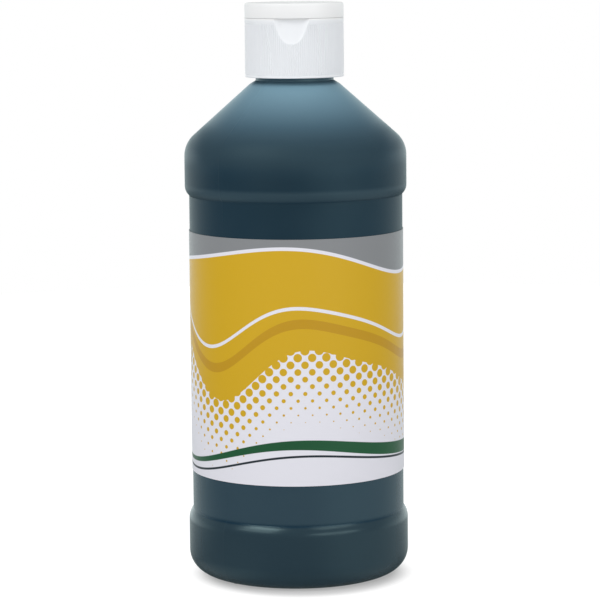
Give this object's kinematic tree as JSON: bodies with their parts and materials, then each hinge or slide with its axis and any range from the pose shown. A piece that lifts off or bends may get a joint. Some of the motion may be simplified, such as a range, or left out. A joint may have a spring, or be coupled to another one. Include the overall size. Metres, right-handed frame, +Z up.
{
  "type": "paint squeeze bottle",
  "caption": "Round squeeze bottle of dark tempera paint with a recessed label panel, wrap label, and a ribbed white screw cap whose lid flips open on a living hinge.",
  "frame": {"origin": "centre of the base, on the surface the bottle stands on", "axes": "+Z up along the bottle's axis; the cap's thumb scoop faces -Y and its hinge is at +Y"},
  "size_m": [0.071, 0.071, 0.1836],
  "materials": {
    "bottle_plastic": "satin, milky polyethylene darkened by the paint behind it",
    "paint": "wet",
    "label_paper": "semi-gloss print",
    "cap_plastic": "satin moulded",
    "washer_foam": "matt foam"
  },
  "bodies": {
    "bottle": {"bottle": "bottle_plastic", "paint": "paint", "wrap_label": "label_paper"},
    "washer": {"sealing_washer": "washer_foam"},
    "cap": {"cap_base": "cap_plastic", "hinge_film": "cap_plastic", "left_hinge_strap": "cap_plastic", "right_hinge_strap": "cap_plastic"},
    "lid": {"flip_lid": "cap_plastic"}
  },
  "joints": [
    {"name": "cap_lift", "type": "slide", "parent": "bottle", "child": "washer", "axis": [0, 0, 1], "range_m": [0, 0.0064]},
    {"name": "cap_turn", "type": "hinge", "parent": "washer", "child": "cap", "pos_m": [0, 0, 0.1601], "axis": [0, 0, 1], "range_deg": [0, 540]},
    {"name": "lid_flip", "type": "hinge", "parent": "cap", "child": "lid", "pos_m": [0, 0.01535, 0.1788], "axis": [-1, 0, 0], "range_deg": [0, 135], "deforming": ["hinge_film", "left_hinge_strap", "right_hinge_strap"]}
  ],
  "couplings": [
    {"joint": "cap_lift", "follows": "cap_turn", "m_per_rad": 0.00067375}
  ]
}
